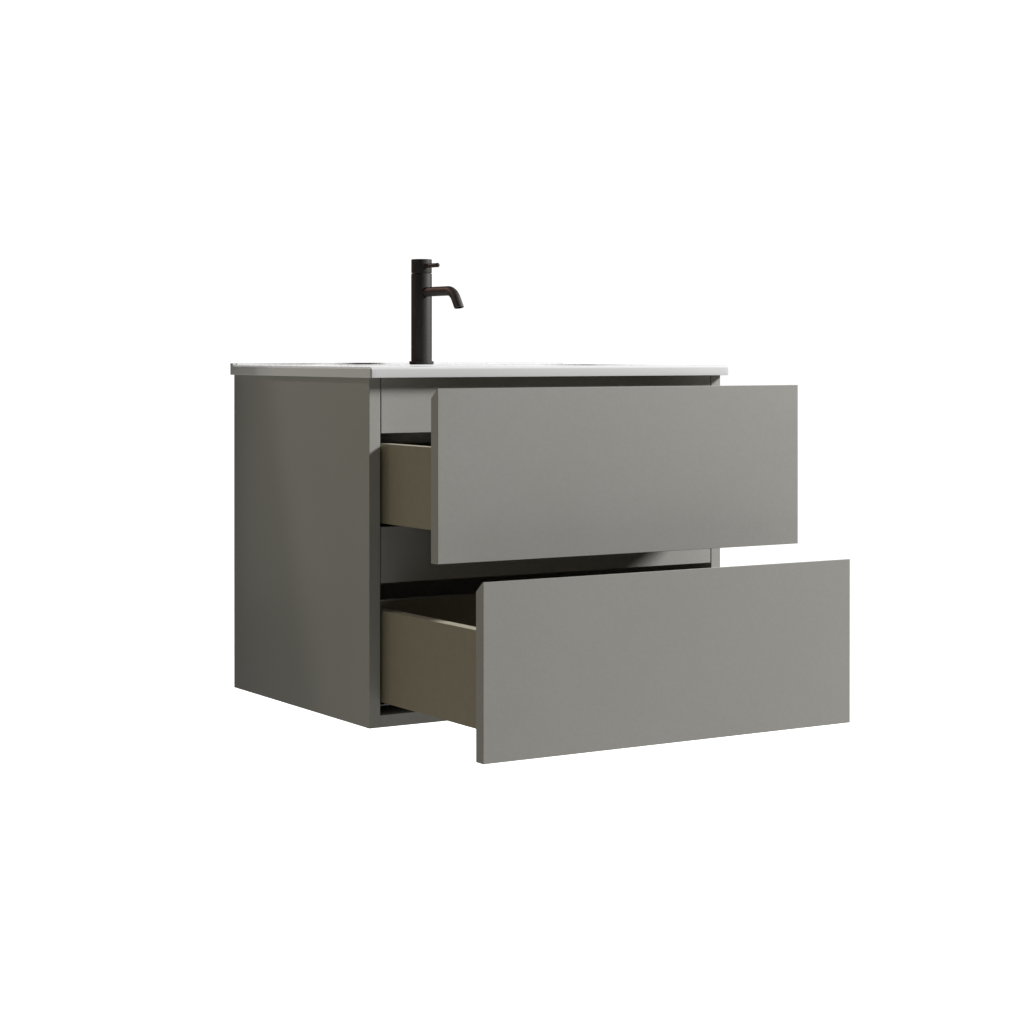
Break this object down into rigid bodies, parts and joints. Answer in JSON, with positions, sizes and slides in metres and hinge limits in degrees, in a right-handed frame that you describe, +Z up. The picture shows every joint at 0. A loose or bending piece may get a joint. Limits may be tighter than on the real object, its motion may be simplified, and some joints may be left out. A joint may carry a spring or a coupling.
{
  "type": "floating vanity",
  "caption": "Wall-hung bathroom vanity: board cabinet with handleless full-extension drawers, ceramic basin, bottle trap and black lever tap.",
  "frame": {"origin": "on the wall plane, midway across the width, level with the cabinet's underside", "axes": "+X to the right seen from the front, +Y into the wall, so the drawers open towards -Y, +Z up"},
  "size_m": [0.612, 0.7434, 0.664],
  "materials": {
    "carcass": "matte taupe grey lacquered board",
    "drawer_box": "matte warm beige coated board, fine linen texture",
    "zinc_steel": "zinc plated sheet steel",
    "black_finish": "matte black powder coat on brass",
    "ceramic_white": "gloss white glaze",
    "white_plastic": "satin white moulded plastic",
    "grey_plastic": "matte grey moulded plastic",
    "black_plastic": "matte black moulded plastic",
    "rubber": "black rubber",
    "beech": "plain beech",
    "silicone": "translucent white sealant"
  },
  "bodies": {
    "cabinet": {"side_panel_left": "carcass", "side_panel_right": "carcass", "bottom_panel": "carcass", "top_front_rail": "carcass", "middle_front_rail": "carcass", "rear_top_rail": "carcass", "rear_lower_board": "carcass", "cabinet_dowels": "beech", "cam_locks": "zinc_steel", "cam_bolts": "zinc_steel", "cabinet_hangers": "zinc_steel", "hanger_hooks": "zinc_steel", "wall_plates": "zinc_steel", "wall_spacer_strip": "rubber", "silicone_beads": "silicone", "upper_fixed_runners": "zinc_steel", "lower_fixed_runners": "zinc_steel", "runner_screws": "zinc_steel", "basin": "ceramic_white", "overflow_ring": "black_finish", "waste_body": "black_finish", "waste_gasket": "rubber", "waste_back_nut": "white_plastic", "trap_bottle": "white_plastic", "trap_cup": "white_plastic", "trap_nuts": "white_plastic", "trap_outlet_pipe": "white_plastic", "tap_gasket": "rubber", "tap_base_ring": "black_finish", "tap_body": "black_finish", "tap_spout": "black_finish", "tap_aerator": "black_plastic", "tap_cartridge": "white_plastic", "tap_stud": "zinc_steel", "tap_horseshoe_washer": "zinc_steel", "tap_stud_nut": "zinc_steel"},
    "upper_drawer": {"upper_front": "carcass", "upper_side_left": "drawer_box", "upper_side_right": "drawer_box", "upper_back_panels": "drawer_box", "upper_bottom": "drawer_box", "upper_trap_surround": "drawer_box", "upper_box_dowels": "beech", "upper_drawer_runners": "zinc_steel", "upper_runner_clips": "grey_plastic"},
    "upper_middle": {"upper_middle_runners": "zinc_steel"},
    "lower_drawer": {"lower_front": "carcass", "lower_side_left": "drawer_box", "lower_side_right": "drawer_box", "lower_back": "drawer_box", "lower_bottom": "drawer_box", "lower_box_dowels": "beech", "lower_drawer_runners": "zinc_steel", "lower_runner_clips": "grey_plastic"},
    "lower_middle": {"lower_middle_runners": "zinc_steel"},
    "plug": {"waste_plug": "black_finish"},
    "tap_mixer": {"tap_swivel": "zinc_steel"},
    "tap_handle": {"tap_cap": "black_finish", "tap_lever_pin": "black_finish", "tap_pivot_pin": "zinc_steel"}
  },
  "joints": [
    {"name": "upper_drawer_slide", "type": "slide", "parent": "cabinet", "child": "upper_drawer", "axis": [0, -1, 0], "range_m": [-0.166, 0.214]},
    {"name": "upper_middle_slide", "type": "slide", "parent": "cabinet", "child": "upper_middle", "axis": [0, -1, 0], "range_m": [-0.083, 0.107]},
    {"name": "lower_drawer_slide", "type": "slide", "parent": "cabinet", "child": "lower_drawer", "axis": [0, -1, 0], "range_m": [-0.2804, 0.0996]},
    {"name": "lower_middle_slide", "type": "slide", "parent": "cabinet", "child": "lower_middle", "axis": [0, -1, 0], "range_m": [-0.1402, 0.0498]},
    {"name": "plug_press", "type": "slide", "parent": "cabinet", "child": "plug", "axis": [0, 0, 1], "range_m": [-0.0075, 0]},
    {"name": "tap_temperature", "type": "hinge", "parent": "cabinet", "child": "tap_mixer", "pos_m": [0, -0.057, 0.645], "axis": [0, 0, 1], "range_deg": [-45, 45]},
    {"name": "tap_flow", "type": "hinge", "parent": "tap_mixer", "child": "tap_handle", "pos_m": [0, -0.0475, 0.6435], "axis": [-1, 0, 0], "range_deg": [0, 18]}
  ],
  "couplings": [
    {"joint": "upper_middle_slide", "follows": "upper_drawer_slide", "ratio": 0.5},
    {"joint": "lower_middle_slide", "follows": "lower_drawer_slide", "ratio": 0.5}
  ]
}
